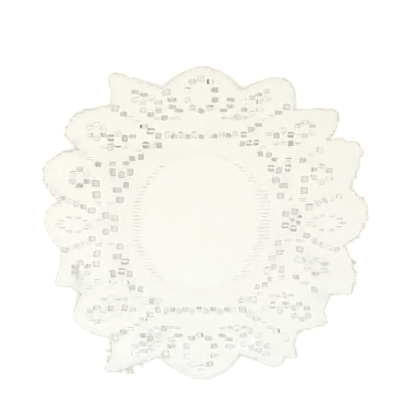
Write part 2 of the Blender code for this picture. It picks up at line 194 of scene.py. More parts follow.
# Swells where the border lifts further off the table.
swells = [
    # name, middle, turn, half length, half width, rise
    ("right hip", (84.0, -33.0), -25.0, 17.0, 9.0, 0.8),
    ("right", (88.0, 3.0), 5.0, 15.0, 9.0, 0.6),
    ("lower left", (-72.0, -44.0), 32.0, 15.0, 5.0, 0.9),
    ("bottom left", (-44.0, -80.0), 60.0, 14.0, 7.0, 0.6),
    ("bottom right", (38.0, -75.0), -65.0, 13.0, 7.0, 0.5),
    ("left shoulder", (-80.0, 30.0), -20.0, 13.0, 7.0, 0.5),
    ("upper right", (68.0, 58.0), 40.0, 14.0, 7.0, 0.6),
    ("top", (0.0, 84.0), 90.0, 12.0, 9.0, 0.4),
]

# Places where the knitting is thinner, painted with the shade that would show through it.
thinPlaces = [
    # name, middle, turn, half length, half width, share
    ("left hip fold", (-77.0, -37.0), 118.0, 8.0, 3.6, 0.24),
    ("bottom left notch", (-22.5, -84.0), 0.0, 2.6, 2.3, 0.6),
    ("bottom left corner", (-54.0, -72.0), 30.0, 4.0, 3.0, 0.25),
    ("bottom left point", (-55.0, -91.0), 20.0, 6.0, 3.0, 0.12),
    ("bottom left foot", (-40.0, -89.0), 30.0, 5.0, 2.5, 0.15),
    ("bottom rim", (-11.0, -93.0), 155.0, 8.0, 3.0, 0.12),
    ("right hip notch", (76.0, -45.5), 0.0, 5.0, 4.5, 0.15),
    ("left shoulder side", (-92.0, 20.0), 143.0, 7.5, 3.0, 0.14),
    ("left shoulder notch", (-75.0, 44.0), 20.0, 3.4, 2.0, 0.25),
    ("upper left notch", (-79.5, 51.0), 60.0, 3.6, 2.0, 0.25),
    ("upper left flower", (-71.0, 60.0), 98.0, 6.0, 3.6, 0.07),
    ("left flower", (-78.0, 26.0), 0.0, 7.0, 5.0, 0.1),
    ("left leaf tip", (-59.0, 0.0), 90.0, 9.0, 6.5, 0.12),
    ("right leaf tip", (59.0, 1.0), 90.0, 7.0, 6.0, 0.1),
    ("net upper left", (-52.0, 29.0), 130.0, 15.0, 7.5, 0.12),
    ("net above the middle", (-35.0, 46.0), 28.0, 12.0, 5.0, 0.1),
    ("net upper right", (51.0, 29.0), 60.0, 13.0, 4.0, 0.08),
    ("net right", (48.0, -19.0), 80.0, 12.0, 4.0, 0.08),
    ("net lower left", (-49.0, -32.0), 114.0, 15.0, 6.0, 0.12),
    ("net below the middle", (-28.0, -52.0), 160.0, 12.0, 5.0, 0.08),
    ("heart lower left", (-28.0, -72.0), 27.0, 12.0, 5.0, 0.1),
    ("petal lower left", (-58.0, -54.0), 20.0, 12.0, 5.0, 0.09),
    ("stem lower right", (68.0, -24.0), 134.0, 9.0, 5.0, 0.1),
    ("flower lower right", (79.0, -32.0), 10.0, 5.0, 4.0, 0.1),
]

# Where the cut edge gets less painted shade than elsewhere.
lessEdgeShade = {
    "place": ((100.0, 0.0), 90.0, 70.0, 60.0),  # middle, turn, half length, half width
    "share": 0.85,
}

# Yarn ends that stand out of the cut edge.
frays = [
    # name, yarns at each tip, tips
    ("bottom left tip", 2, [(-51.4, -96.6), (-46.6, -97.4), (-44.0, -96.2), (-41.4, -95.8), (-36.6, -92.0)]),
    ("bottom left side", 2, [(-62.6, -77.6), (-61.8, -80.4), (-60.9, -84.8), (-61.0, -87.4)]),
    ("left shoulder top", 1, [(-88.3, 45.8), (-85.4, 46.8), (-82.6, 46.8), (-80.0, 47.0)]),
    ("left shoulder tip", 1, [(-102.1, 34.8), (-99.8, 22.4)]),
    ("upper left top", 1, [(-76.2, 72.0), (-74.4, 72.8), (-72.1, 73.3), (-70.0, 73.3)]),
    ("upper left side", 1, [(-81.6, 68.1), (-87.2, 61.6), (-87.4, 56.0)]),
    ("lower left notch", 2, [(-79.4, -50.8)]),
    ("bottom right", 2, [(27.9, -86.6), (32.6, -88.2)]),
    ("lower right", 2, [(80.2, -63.4), (63.5, -70.3)]),
    ("right", 1, [(103.0, 17.2), (106.4, 3.1), (104.8, -2.4), (101.3, -9.4), (97.2, -13.1)]),
    ("right hip", 2, [(99.1, -24.6), (98.9, -30.6), (98.4, -39.6)]),
]

lay = {
    "seed": 16,  # every random draw starts from this
    "rounds": 6,  # each finds a point's place in the chart more closely
    "flatReach": 36.0,  # everything inside this rests flat
    "borderRise": 0.6,
    "riseLength": 17.0,
    "settleFrom": 86.0,  # the rim settles back between these
    "settleTo": 104.0,
    "settleShare": 0.85,
}

ladder = {
    "halfAcross": 41.9,
    "halfUp": 44.4,
    "rung": 2.25,  # one course of the knitting
    "width": 4.0,
    "highest": 0.82,  # share of the ring's height that has slits
    "narrowest": 1.2,  # no slit is less wide
    "wideScatter": 0.4,
    "column": 2.275,  # the slits keep to the columns of the knitting
    "shadeShare": 0.06,  # painted shade on the ring, for shade seen through its thinner knitting
    "shadeWidth": 4.5,
    "lessShadeInside": 0.09,  # and less of the hollows' painted shade inside it, where the knitting is closer, which paints the flat middle lighter
    "closerFrom": 0.88,  # in full up to this share of the ring's size, and gone at the ring
}

# The slits of one rung, on each side of the cloth.
ladderSlits = [
    # side, from the ring, wide at the middle, wide at the ends, tall at the middle, tall at the ends, scatter
    (-1, 0.0, 4.2, 2.4, 0.14, 0.05, 0.2),
    (1, -1.9, 3.4, 2.2, 0.1, 0.05, 0.5),
    (1, 1.8, 3.2, 0.0, 0.09, 0.05, 0.5),
]


def drifted(points):
    # Points of the chart where they lie in the cloth.
    points = np.array(points, float)
    for _, middle, reach, push in drifts:
        share = np.exp(-np.sum((points - middle) ** 2, axis=-1) / reach**2)
        points = points + share[..., None] * np.array(push)
    return points


def undrifted(points):
    # Where points of the cloth lie in the chart.
    guess = np.array(points, float)
    for _ in range(lay["rounds"]):
        guess = guess + (points - drifted(guess))
    return guess


def eased(value, start, end):
    share = np.clip((value - start) / (end - start), 0, 1)
    return share * share * (3 - 2 * share)


def swellAt(points, middle, turn, halfLength, halfWidth):
    # 1 at the middle, falling smoothly along and beside a turned axis.
    east, north = points[:, 0] - middle[0], points[:, 1] - middle[1]
    cos, sin = math.cos(math.radians(turn)), math.sin(math.radians(turn))
    along, beside = east * cos + north * sin, north * cos - east * sin
    return np.exp(-((along / halfLength) ** 2) - (beside / halfWidth) ** 2)


def thinnessAt(points):
    return np.minimum(1, sum(share * swellAt(points, *place) for _, *place, share in thinPlaces))


def liftAt(points):
    # How far the underside stands off the table.
    reach, turn = np.hypot(points[:, 0], points[:, 1]), np.arctan2(points[:, 1], points[:, 0])
    height = lay["borderRise"] * (1 - lay["settleShare"] * eased(reach, lay["settleFrom"], lay["settleTo"]))
    swaying = (share * np.cos(waves * (turn - math.radians(crest))) for _, waves, crest, share in sways)
    height *= 1 + sum(swaying)
    for _, *swell, rise in swells:
        height += rise * swellAt(points, *swell)
    return height * eased(reach, lay["flatReach"], lay["flatReach"] + lay["riseLength"])


def curveThrough(knots, steps):
    # A centripetal curve through every knot.
    knots = np.array(knots, float)
    held = np.vstack([2 * knots[0] - knots[1], knots, 2 * knots[-1] - knots[-2]])
    points = []
    for four in zip(held, held[1:], held[2:], held[3:]):
        at = np.cumsum([0.0] + [math.sqrt(math.dist(a, b)) for a, b in zip(four, four[1:])])
        for share in np.linspace(0, 1, steps, endpoint=False):
            t = at[1] + (at[2] - at[1]) * share
            level = list(four)
            for ends in (zip(at, at[1:]), zip(at, at[2:]), [(at[1], at[2])]):
                pairs = zip(level, level[1:], ends)
                level = [a + (b - a) * (t - low) / (high - low) for a, b, (low, high) in pairs]
            points.append(level[0])
    return np.array(points + [knots[-1]])


def respaced(points, step):
    # The same line with its points about a step apart.
    travelled = np.concatenate([[0], np.cumsum(np.linalg.norm(np.diff(points, axis=0), axis=1))])
    count = max(4, round(travelled[-1] / step))
    at = np.linspace(0, travelled[-1], count + 1)
    return np.stack([np.interp(at, travelled, points[:, axis]) for axis in (0, 1)], axis=1)


def insidePolygon(points, outline):
    x, y = points[:, 0], points[:, 1]
    crossings = np.zeros(len(points), int)
    for (x0, y0), (x1, y1) in zip(outline, np.roll(outline, -1, axis=0)):
        if y0 == y1:
            continue
        spans = (y0 > y) != (y1 > y)
        crossings += spans & (x0 + (y - y0) / (y1 - y0) * (x1 - x0) > x)
    return crossings % 2 == 1


edge = {
    "step": 0.5,
    "curveSteps": 24,  # between two knots of a scallop
    "picot": 2.25,  # one to each course
    "picotReach": 0.7,
    "sizes": (0.3, 1.1),  # of the picots
    "inset": 0.3,  # the cut runs this far inside the line of the scallops
    "roughness": 0.08,
    "stitch": (2.275, 2.25),  # the cut runs in steps of half a repeat across and one course up
    "corner": 0.16,  # share of a step that its corner takes
    "stepped": (0.75, 1.15),  # how far the cut follows the steps where it is most ragged
    "notchReach": 4.0,  # picots and steps grow smaller this close to a notch
}


def steppedAlong(points):
    # The points pulled to the middles of their stitches.
    place = points / np.array(edge["stitch"])
    whole = np.floor(place)
    share = np.clip((place - whole - 0.5) / edge["corner"] + 0.5, 0, 1)
    return (whole + share) * np.array(edge["stitch"])


def clothEdge():
    # The scalloped edge with its picots, and where each picot peaks.
    chance = random.Random(lay["seed"])
    outline, peaks = [], []
    for index, (_, notch, rise, tip, fall, ragged) in enumerate(scallops):
        following = scallops[(index + 1) % len(scallops)][1]
        line = respaced(curveThrough([notch, rise, tip, fall, following], edge["curveSteps"]), edge["step"])
        ahead = np.gradient(line, axis=0)
        outward = np.stack([ahead[:, 1], -ahead[:, 0]], axis=1) / np.linalg.norm(ahead, axis=1)[:, None]
        length = np.linalg.norm(np.diff(line, axis=0), axis=1).sum()
        count = max(2, round(length / edge["picot"]))
        middles = np.arange(count) + 0.5
        fades = np.minimum(1, np.minimum(middles, count - middles) * edge["picot"] / edge["notchReach"])
        sizes = [ragged * fade * chance.uniform(*edge["sizes"]) for fade in fades]
        follows = [ragged * fade * chance.uniform(*edge["stepped"]) for fade in fades]
        along = np.linspace(0, count, len(line))
        wave = np.sin(math.pi * (along % 1)) ** 2 * np.interp(along, middles, sizes) * edge["picotReach"]
        rough = np.array([chance.uniform(-1, 1) * edge["roughness"] for _ in line])
        stepped = np.minimum(1, np.interp(along, middles, follows, 0, 0))
        cut = line + (steppedAlong(line) - line) * stepped[:, None]
        cut += outward * (wave + rough - edge["inset"])[:, None]
        outline.extend(cut[:-1])
        for middle, size in zip(middles, sizes):
            nearest = round(middle / count * (len(line) - 1))
            peaks.append((cut[nearest], outward[nearest], size))
    return np.array(outline), peaks


gapShape = {
    "step": 0.6,
    "fewest": 12,  # points of an outline
    "roundness": 5.0,  # 2 is an ellipse and more is squarer
    "wobble": 0.05,
    "slit": 1.5,  # a gap lower than this is a slit, which neither leans nor slopes
    "lean": 0.12,
    "slope": 0.07,
    "edgeClearance": 0.5,  # cloth kept between a gap and the edge
    "clearance": 0.3,  # cloth kept between two gaps
    "apart": 9.0,  # gaps further apart than this can't meet
    "knownWithin": 2.2,  # of its place in knownGaps
}


def gapOutline(middle, wide, tall, chance):
    perimeter = 2 * (wide + tall)
    count = max(gapShape["fewest"], round(perimeter / gapShape["step"]))
    free = 1 if tall > gapShape["slit"] else 0
    lean = chance.uniform(-gapShape["lean"], gapShape["lean"]) * free
    slope = chance.uniform(-gapShape["slope"], gapShape["slope"]) * free
    outline = []
    for turn in np.linspace(0, 2 * math.pi, count, endpoint=False):
        cos, sin = math.cos(turn), math.sin(turn)
        power = 2 / gapShape["roundness"]
        x = math.copysign(abs(cos) ** power, cos) * wide / 2
        y = math.copysign(abs(sin) ** power, sin) * tall / 2
        wobble = 1 + chance.uniform(-1, 1) * gapShape["wobble"]
        outline.append((middle[0] + (x + lean * y) * wobble, middle[1] + (y + slope * x) * wobble))
    return drifted(outline)


def quarterGaps():
    # The gaps of one quarter as (middle, wide, tall, veil).
    charted = []
    for _, first, last, count, firstSize, lastSize, veil in gapRuns:
        for share in np.linspace(0, 1, count):
            middle = np.array(first) + (np.array(last) - first) * share
            size = np.array(firstSize) + (np.array(lastSize) - firstSize) * share
            charted.append((middle, size[0], size[1], veil))
    for _, middle, halfAcross, halfUp, count, firstTurn, wide, tall, veil in gapRings:
        for index in range(count):
            turn = math.radians(firstTurn + 360.0 * index / count)
            offset = np.array([halfAcross * math.cos(turn), halfUp * math.sin(turn)])
            charted.append((np.array(middle) + offset, wide, tall, veil))
    return charted


def ladderGaps():
    # The slits between the rungs of the ladder ring.
    chance = random.Random(lay["seed"] + 6)
    charted = []
    rungs = int(ladder["halfUp"] * ladder["highest"] / ladder["rung"])
    for rung in range(-rungs, rungs + 1):
        up = rung * ladder["rung"]
        share = math.sqrt(1 - (up / ladder["halfUp"]) ** 2)
        for side, beside, wideMiddle, wideEnd, tallMiddle, tallEnd, scatter in ladderSlits:
            wide = wideEnd + (wideMiddle - wideEnd) * share**2
            wide += chance.uniform(-ladder["wideScatter"], ladder["wideScatter"])
            tall = tallEnd + (tallMiddle - tallEnd) * share**4
            across = side * ladder["halfAcross"] * share + beside
            across = round(across / ladder["column"]) * ladder["column"] + chance.uniform(-scatter, scatter)
            if wide > ladder["narrowest"]:
                middle = np.array([across, up + chance.uniform(-0.5, 0.5) * scatter])
                charted.append((middle, wide, tall, 0.0, 0.0))
    return charted


def chartedGaps():
    # Every gap of the cloth as (middle, wide, tall, veil, crossed).
    charted = [gap[1:] for gap in loneGaps]
    for middle, wide, tall, veil in quarterGaps():
        for _, sides, moreBeside, moreAbove, crossed, size in quarters:
            more = moreBeside if middle[0] > middle[1] else moreAbove
            charted.append((middle * sides, wide * size, tall * size, veil + more, crossed))
    return charted + ladderGaps() + [gap[1:] for gap in lateGaps]


def cutGaps(outline):
    # The gaps that break neither the edge nor each other, each as its shape in place,
    # then its middle in the chart, width, height, veil, and whether yarns cross it.
    chance = random.Random(lay["seed"] + 1)
    crossing = random.Random(lay["seed"] + 7)
    edgeTree = treeOf(outline)
    kept, taken = [], []
    for middle, wide, tall, veil, crossed in chartedGaps():
        shape = gapOutline(middle, wide, tall, chance)
        veiled = veil if chance.random() < veil else 0
        barred = crossing.random() < crossed
        if not insidePolygon(shape, outline).all():
            continue
        if min(edgeTree.find((x, y, 0))[2] for x, y in shape) < gapShape["edgeClearance"]:
            continue
        centre = shape.mean(axis=0)
        near = [other for other, place in taken if np.abs(place - centre).max() < gapShape["apart"]]
        if any(gapBetween(shape, other) < gapShape["clearance"] for other in near):
            continue
        taken.append((shape, centre))
        for knownVeil, knownBars, places in knownGaps:
            if np.linalg.norm(centre - places, axis=1).min() < gapShape["knownWithin"]:
                veiled, barred = knownVeil, knownBars
        kept.append((shape, middle, wide, tall, veiled, barred))
    return kept


def gapBetween(shape, other):
    if insidePolygon(shape[:1], other)[0] or insidePolygon(other[:1], shape)[0]:
        return 0.0
    return np.linalg.norm(shape[:, None] - other[None], axis=2).min()


def treeOf(points):
    # Finds the point nearest to a place.
    tree = kdtree.KDTree(len(points))
    for index, (x, y) in enumerate(points):
        tree.insert((x, y, 0), index)
    tree.balance()
    return tree


cloth = {
    "name": "laceCloth",
    "gridAcross": 0.91,  # a fifth of the pattern's repeat
    "gridUp": 0.75,  # a third of a course
    "gridReach": (112.0, 106.0),  # past the edge all round
    "centreReach": 37.0,  # inside this the knitting is plain and needs fewer points
    "centreEvery": 2,
    "pointClearance": 0.3,
    "mergeWithin": 1e-5,
    "baseLift": 0.02,
    "edgeThickness": 0.26,
    "thickness": 0.55,
    "thickWithin": 0.35,  # this far from a cut the cloth is two thirds of the way to its thickness
    "rimHeight": 0.17,  # round a gap
    "rimWidth": 0.42,
    "hemHeight": 0.1,  # along the edge
    "hemWidth": 0.55,
    "cordHeight": 0.14,  # on both sides of the ladder ring
    "cordAway": 1.15,  # this and the next two are in half widths of the ring
    "cordWidth": 0.22,
    "ladderWidth": 0.8,
    "ladderDepth": 0.12,
    "waviness": 0.2,
    "waves": 14,
    "waveLength": (5.0, 16.0),
}


def insideGaps(points, gaps):
    inside = np.zeros(len(points), bool)
    for shape, *_ in gaps:
        low, high = shape.min(axis=0), shape.max(axis=0)
        near = np.flatnonzero(((points > low) & (points < high)).all(axis=1))
        inside[near[insidePolygon(points[near], shape)]] = True
    return inside


def distanceTo(rim, points):
    tree = treeOf(rim)
    return np.array([tree.find((x, y, 0))[2] for x, y in points])


def gridPoints(outline, gaps):
    # Points inside the cloth that keep to the stitches.
    across, up = cloth["gridAcross"], cloth["gridUp"]
    reachX, reachY = (int(reach / step) for reach, step in zip(cloth["gridReach"], (across, up)))
    columns, rows = np.meshgrid(np.arange(-reachX, reachX + 1), np.arange(-reachY, reachY + 1))
    columns, rows = columns.ravel(), rows.ravel()
    u, v = columns * across, rows * up
    coarse = (columns % cloth["centreEvery"] == 0) & (rows % cloth["centreEvery"] == 0)
    wanted = coarse | (np.hypot(u, v) > cloth["centreReach"])
    points = drifted(np.stack([u, v], axis=1)[wanted])
    points = points[insidePolygon(points, outline)]
    points = points[~insideGaps(points, gaps)]
    rim = np.vstack([outline] + [gap[0] for gap in gaps])
    return points[distanceTo(rim, points) > cloth["pointClearance"]]


def triangulated(outline, gaps):
    # The points and triangles of the cloth, with the edge and every gap as lines between triangles.
    rings = [outline] + [gap[0] for gap in gaps]
    lines, start = [], 0
    for ring in rings:
        lines += [(start + i, start + (i + 1) % len(ring)) for i in range(len(ring))]
        start += len(ring)
    flat = [Vector(point) for point in np.vstack(rings + [gridPoints(outline, gaps)])]
    points, _, faces, *_ = delaunay_2d_cdt(flat, lines, [], 1, cloth["mergeWithin"], False)
    points, faces = np.array([tuple(point) for point in points]), np.array(faces)
    middles = points[faces].mean(axis=1)
    return points, faces[insidePolygon(middles, outline) & ~insideGaps(middles, gaps)]


def wavesAt(points):
    # Slow unevenness of limp cloth, the same each time.
    chance = random.Random(lay["seed"] + 2)
    height = np.zeros(len(points))
    for _ in range(cloth["waves"]):
        turn, length = chance.uniform(0, math.pi), chance.uniform(*cloth["waveLength"])
        phase = chance.uniform(0, 2 * math.pi)
        along = points[:, 0] * math.cos(turn) + points[:, 1] * math.sin(turn)
        height += np.sin(2 * math.pi * along / length + phase) / cloth["waves"]
    return height


def ladderAway(pattern):
    # How far beside the ladder ring a point of the chart lies, in half widths of the ring.
    reach = np.hypot(pattern[:, 0] / ladder["halfAcross"], pattern[:, 1] / ladder["halfUp"])
    return np.abs((reach - 1) * ladder["halfAcross"] / (ladder["width"] / 2))


def faceHeights(points, pattern, toGap, toEdge):
    # How far the face of the cloth stands over its underside.
    rise = 1 - np.exp(-np.minimum(toGap, toEdge) / cloth["thickWithin"])
    height = cloth["edgeThickness"] + (cloth["thickness"] - cloth["edgeThickness"]) * rise
    for border, distance in (("rim", toGap), ("hem", toEdge)):
        near = distance / cloth[border + "Width"]
        height += cloth[border + "Height"] * near * np.exp(1 - near)
    away = ladderAway(pattern)
    height += cloth["cordHeight"] * np.exp(-(((away - cloth["cordAway"]) / cloth["cordWidth"]) ** 2))
    height -= cloth["ladderDepth"] * np.exp(-((away / cloth["ladderWidth"]) ** 4))
    height += cloth["waviness"] * wavesAt(points) * rise
    return height


def boundaryOf(faces):
    # The edges of the cut, each in the direction of its only face.
    ends = np.concatenate([faces[:, [0, 1]], faces[:, [1, 2]], faces[:, [2, 0]]])
    ordered = np.sort(ends, axis=1)
    _, index, count = np.unique(ordered, axis=0, return_inverse=True, return_counts=True)
    return ends[count[index.ravel()] == 1]


def linked(name, data):
    obj = bpy.data.objects.new(name, data)
    bpy.context.scene.collection.objects.link(obj)
    return obj


def madeSheet(name, verts, faces, material, layers):
    # A smooth mesh with a UV layer for each pair of values that its material reads.
    mesh = bpy.data.meshes.new(name)
    mesh.from_pydata([tuple(vert) for vert in verts], [], [tuple(int(i) for i in face) for face in faces])
    mesh.shade_smooth()
    mesh.materials.append(material)
    loops = np.empty(len(mesh.loops), np.int32)
    mesh.loops.foreach_get("vertex_index", loops)
    for label, values in layers.items():
        layer = mesh.uv_layers.new(name=label)
        layer.data.foreach_set("uv", values[loops].astype(np.float32).ravel())
    mesh.validate()
    return linked(name, mesh)


def makeCloth(outline, gaps, material):
    points, faces = triangulated(outline, gaps)
    turned = points[faces]
    area = np.cross(turned[:, 1] - turned[:, 0], turned[:, 2] - turned[:, 0]) / 2
    faces[area < 0] = faces[area < 0][:, ::-1]
    area = float(np.abs(area).sum())
    pattern = undrifted(points)
    toGap, toEdge = distanceTo(np.vstack([gap[0] for gap in gaps]), points), distanceTo(outline, points)
    under = liftAt(points) + cloth["baseLift"]
    top = under + faceHeights(points, pattern, toGap, toEdge)
    count = len(points)
    rim = boundaryOf(faces)
    walls = np.concatenate([
        np.stack([rim[:, 1], rim[:, 0], rim[:, 0] + count], axis=1),
        np.stack([rim[:, 1], rim[:, 0] + count, rim[:, 1] + count], axis=1),
    ])
    verts = np.concatenate([np.column_stack([points, top]), np.column_stack([points, under])])
    verts[:, :2] -= patternMiddle
    allFaces = np.concatenate([faces, faces[:, ::-1] + count, walls])
    print("cloth:", len(allFaces), "triangles, net area", round(area), "square mm")
    # How much of the edge's painted shade each point gets, less on the right side.
    edgeShadeAmount = 1 - lessEdgeShade["share"] * swellAt(points, *lessEdgeShade["place"])
    layers = {
        "pattern": pattern,
        "closeness": np.stack([toEdge, toGap], axis=1),
        "thinness": np.stack([thinnessAt(points), edgeShadeAmount], axis=1),
    }
    layers = {label: np.vstack([values] * 2) for label, values in layers.items()}
    return madeSheet(cloth["name"], verts * mm, allFaces, material, layers), area * mm * mm


strand = {
    "radius": 0.16,
    "sink": 0.3,  # how far an end runs into the cloth
    "above": 0.24,  # over the underside of the cloth
}

picot = {
    "kept": 0.55,  # share of the courses that end in a loop
    "halfWidth": (0.35, 0.7),
    "thick": (0.9, 1.7),
    "reach": (0.2, 1.3),
    "reachScatter": (0.6, 1.2),
    "skew": 0.5,
    "turns": (-35, 215),  # of a loop from foot to foot, in degrees
    "points": 8,
    "arch": 0.1,
    "nibs": 0.3,  # share of the courses that end in a loose bit of yarn
    "nibReach": (0.7, 1.9),
    "nibLean": 0.8,
    "shadeShare": 0.25,  # share of the cut edge's painted shade in the yarn
}

fray = {
    "sink": 0.5,
    "spread": 0.6,
    "scatter": 0.3,
    "thick": 1.1,
    "thickRoot": 1.8,  # how thick at its root, and how much of that it loses to its tip
    "thinning": 1.2,
    "bend": 0.2,
    "rise": 0.15,
    "points": 6,
    # share of the cut edge's painted shade in the yarn
    "shadeShare": 0.65,
}

veil = {
    "spacing": (0.3, 0.52),
    "covered": (0.3, 0.9),  # share of a gap with threads across, to which its veil is added by half
    "upright": 0.35,  # share of the veils whose threads run up the cloth
    "thick": (0.8, 1.3),
    "bar": 1.5,  # the same for the last thread of a veil that leaves a part of its gap open
    "barSpacing": 1.1,
    "barred": 0.5,  # share of the veils with threads across as well as along
    "slitSpacing": 0.3,
    "clear": 3.2,  # a gap lower than this has a few threads across even without a veil
    "sparse": (0.8, 1.3),
    "pairWidth": 0.6,  # of the two yarns that cross an open gap
    "pairThick": 1.15,
    "pairAt": (-0.1, 0.15),  # share of the gap's height up from its middle
    "points": 7,
    "aboveMiddle": 0.55,  # over the underside of the cloth
    "aboveEnds": 0.3,
    "scatter": 0.15,  # this and the next two are shares of the spacing
    "lean": 0.35,
    "waver": 0.12,
    "reach": 0.25,  # how far the ends run on into the cloth
    "highlightShare": 0.3,  # share of the gaps' painted highlight in the threads
}


def strandPath(points, above, thins):
    # A strand as (x, y, height, share of its radius), laid over the cloth's own lift.
    return np.column_stack([points - patternMiddle, liftAt(points) + above, thins])


def picotPaths(picots):
    chance = random.Random(lay["seed"] + 3)
    turns = np.radians(np.linspace(*picot["turns"], picot["points"]))
    rise = np.sin(turns)
    low, high = picot["reach"]
    paths = []
    for peak, outward, size in picots:
        along = np.array([-outward[1], outward[0]])
        halfWidth = chance.uniform(*picot["halfWidth"])
        reach = low + (high - low) * size * chance.uniform(*picot["reachScatter"])
        skew = chance.uniform(-picot["skew"], picot["skew"])
        beside = np.cos(turns) * halfWidth + rise * skew
        loop = peak + np.outer(beside, along) + np.outer(rise * reach, outward)
        if chance.random() < picot["kept"]:
            thick = chance.uniform(*picot["thick"]) * np.ones(len(loop))
            paths.append(strandPath(loop, strand["above"] + picot["arch"] * rise, thick))
        if chance.random() < picot["nibs"] * size:
            tip = peak + outward * chance.uniform(*picot["nibReach"])
            tip += along * chance.uniform(-picot["nibLean"], picot["nibLean"])
            paths.append(frayPath(peak - outward * strand["sink"], tip, chance))
    return paths


def frayPath(root, tip, chance, thick=1.0):
    shares = np.linspace(0, 1, fray["points"])
    ahead = tip - root
    bend = np.array([-ahead[1], ahead[0]]) * chance.uniform(-fray["bend"], fray["bend"])
    points = root + np.outer(shares, ahead) + np.outer(np.sin(shares * math.pi), bend)
    thins = (fray["thickRoot"] - fray["thinning"] * shares) * thick
    return strandPath(points, strand["above"] + fray["rise"] * shares, thins)


def frayPaths(outline):
    chance = random.Random(lay["seed"] + 4)
    tree = treeOf(outline)
    paths = []
    for _, yarns, tips in frays:
        for tip in tips:
            nearest = np.array(tree.find((*tip, 0))[0])[:2]
            inward = nearest - tip
            inward /= max(np.linalg.norm(inward), 1e-6)
            beside = np.array([inward[1], -inward[0]])
            for _ in range(yarns):
                root = nearest + inward * fray["sink"] + chance.uniform(-1, 1) * fray["spread"] * beside
                scatter = np.array([chance.uniform(-1, 1), chance.uniform(-1, 1)]) * fray["scatter"]
                paths.append(frayPath(root, tip + scatter, chance, fray["thick"]))
    return paths


def veilLayers(wide, tall, amount, crossed, chance):
    # Each layer is a direction, a spacing, and the shares of the gap that it runs between.
    # Each direction is how far its threads spread and reach, and which way.
    across = (wide, tall, np.array((1, 0)), np.array((0, 1)))
    upward = (tall, wide, np.array((0, 1)), np.array((1, 0)))
    if tall < gapShape["slit"]:
        return [(upward, veil["slitSpacing"], -0.5, 0.5)] if amount else []
    if not amount and tall <= veil["clear"]:
        return [(across, chance.uniform(*veil["sparse"]), -0.5, 0.5)]
    if not amount and not crossed:
        return []
    if not amount:
        half = veil["pairWidth"] / 2 / tall
        at = chance.uniform(*veil["pairAt"])
        return [(upward, veil["pairWidth"] / 2, at - half, at + half)]
    upright = chance.random() < veil["upright"]
    covered = min(1.0, chance.uniform(*veil["covered"]) + amount / 2)
    side = chance.choice((-1, 1)) if upright else -1
    spacing = chance.uniform(*veil["spacing"])
    layers = [(across if upright else upward, spacing, side * 0.5, side * (0.5 - covered))]
    if chance.random() < veil["barred"]:
        layers.append((upward if upright else across, veil["barSpacing"], -0.5, 0.5))
    return layers


def veilPaths(gaps):
    # Threads left across the gaps that the net only half opens.
    chance = random.Random(lay["seed"] + 5)
    shares = np.linspace(-1, 1, veil["points"])
    above = veil["aboveMiddle"] + (veil["aboveEnds"] - veil["aboveMiddle"]) * shares**4
    paths = []
    for _, middle, wide, tall, amount, crossed in gaps:
        layers = veilLayers(wide, tall, amount, crossed, chance)
        for (span, length, beside, along), spacing, start, stop in layers:
            count = max(1, round(span * abs(stop - start) / spacing))
            for index in range(count):
                place = (start + (index + 0.5) / count * (stop - start)) * span
                place += chance.uniform(-veil["scatter"], veil["scatter"]) * spacing
                lean = chance.uniform(-veil["lean"], veil["lean"]) * spacing
                waver = np.array([chance.uniform(-veil["waver"], veil["waver"]) for _ in shares])
                points = middle + np.outer(place + lean * shares + waver * spacing, beside)
                points = points + np.outer(shares * (length / 2 + veil["reach"]), along)
                thick = chance.uniform(*veil["thick"])
                if not amount and tall > veil["clear"]:
                    thick = veil["pairThick"]
                elif abs(stop - start) < 1 and index == count - 1:
                    thick = veil["bar"]
                paths.append(strandPath(drifted(points), above, thick + waver))
    return paths


def makeStrands(name, paths, material):
    curve = bpy.data.curves.new(name, "CURVE")
    curve.dimensions = "3D"
    curve.bevel_depth = strand["radius"] * mm
    curve.bevel_resolution = 1
    curve.use_fill_caps = True
    for path in paths:
        line = curve.splines.new("POLY")
        line.points.add(len(path) - 1)
        for point, (x, y, height, thin) in zip(line.points, path):
            point.co = (x * mm, y * mm, height * mm, 1)
            point.radius = thin
    curve.materials.append(material)
    return linked(name, curve)


knit = {
    "wale": 1.138,  # a quarter of the pattern's repeat
    "course": 0.75,  # three rows of loops to a course of the pattern
    "wander": 0.10,
    "wanderScale": 0.9,
    "wanderReach": 4.0,
    "pillarSlope": 5.0,  # how steeply a chain falls off beside its middle
    "pillarSoftness": 0.25,
    "legLean": 1.8,  # how far the legs of a loop slant
    "loopDepth": 0.22,
    "inlayHeight": 0.62,
    "inlayStep": 0.37,  # how far up the laid-in yarn moves from chain to chain
    "inlayRoundness": 0.6,
    "softness": 0.12,  # where chain and laid-in yarn meet
    "depth": 0.14,
    "bump": 0.7,
    "fibreBump": 0.25,
}

cotton = {
    "white": (0.85, 0.853, 0.835, 1),
    "cream": (0.845, 0.83, 0.735, 1),
    # painted shade for the dips between the yarns
    "hollowShade": (0.72, 0.71, 0.65, 1),
    "hollowShadeShare": 0.5,
    # painted shade for the cut edge and the yarns that stand out of it
    "edge": (0.56, 0.56, 0.57, 1),
    "edgeShadeWidth": 0.6,  # painted shade along the cut edge, where the knitting is thinner
    "edgeShadeShare": 0.5,
    "rimWidth": 4.0,  # a band inside the edge gets a little painted shade too
    "rimShadeShare": 0.16,
    # painted shade where the knitting is thin
    "thin": (0.45, 0.45, 0.46, 1),
    "gapHighlight": (0.93, 0.93, 0.9, 1),  # painted highlight on the yarn drawn tight round a gap
    "gapHighlightWidth": 0.8,
    "gapHighlightShare": 0.6,
    "mottle": 0.26,
    "creamUp": 0.006,  # share of cream yarn gained for each mm up the cloth
    "creamMiddle": 0.55,
    "creamPatches": 1.0,
    "roughLow": 0.72,
    "roughHigh": 0.92,
    "sheen": 0.06,
    "sheenRoughness": 0.6,
    "specular": 0.04,
    "fibre": 6.0,  # the scales of the fuzz, to the millimetre of the chart
    "patch": 0.05,
    "blot": 0.35,
    "yarnFibre": 5000.0,  # to the metre
    "yarnPatch": 150.0,
    "yarnDepth": 0.04,
}


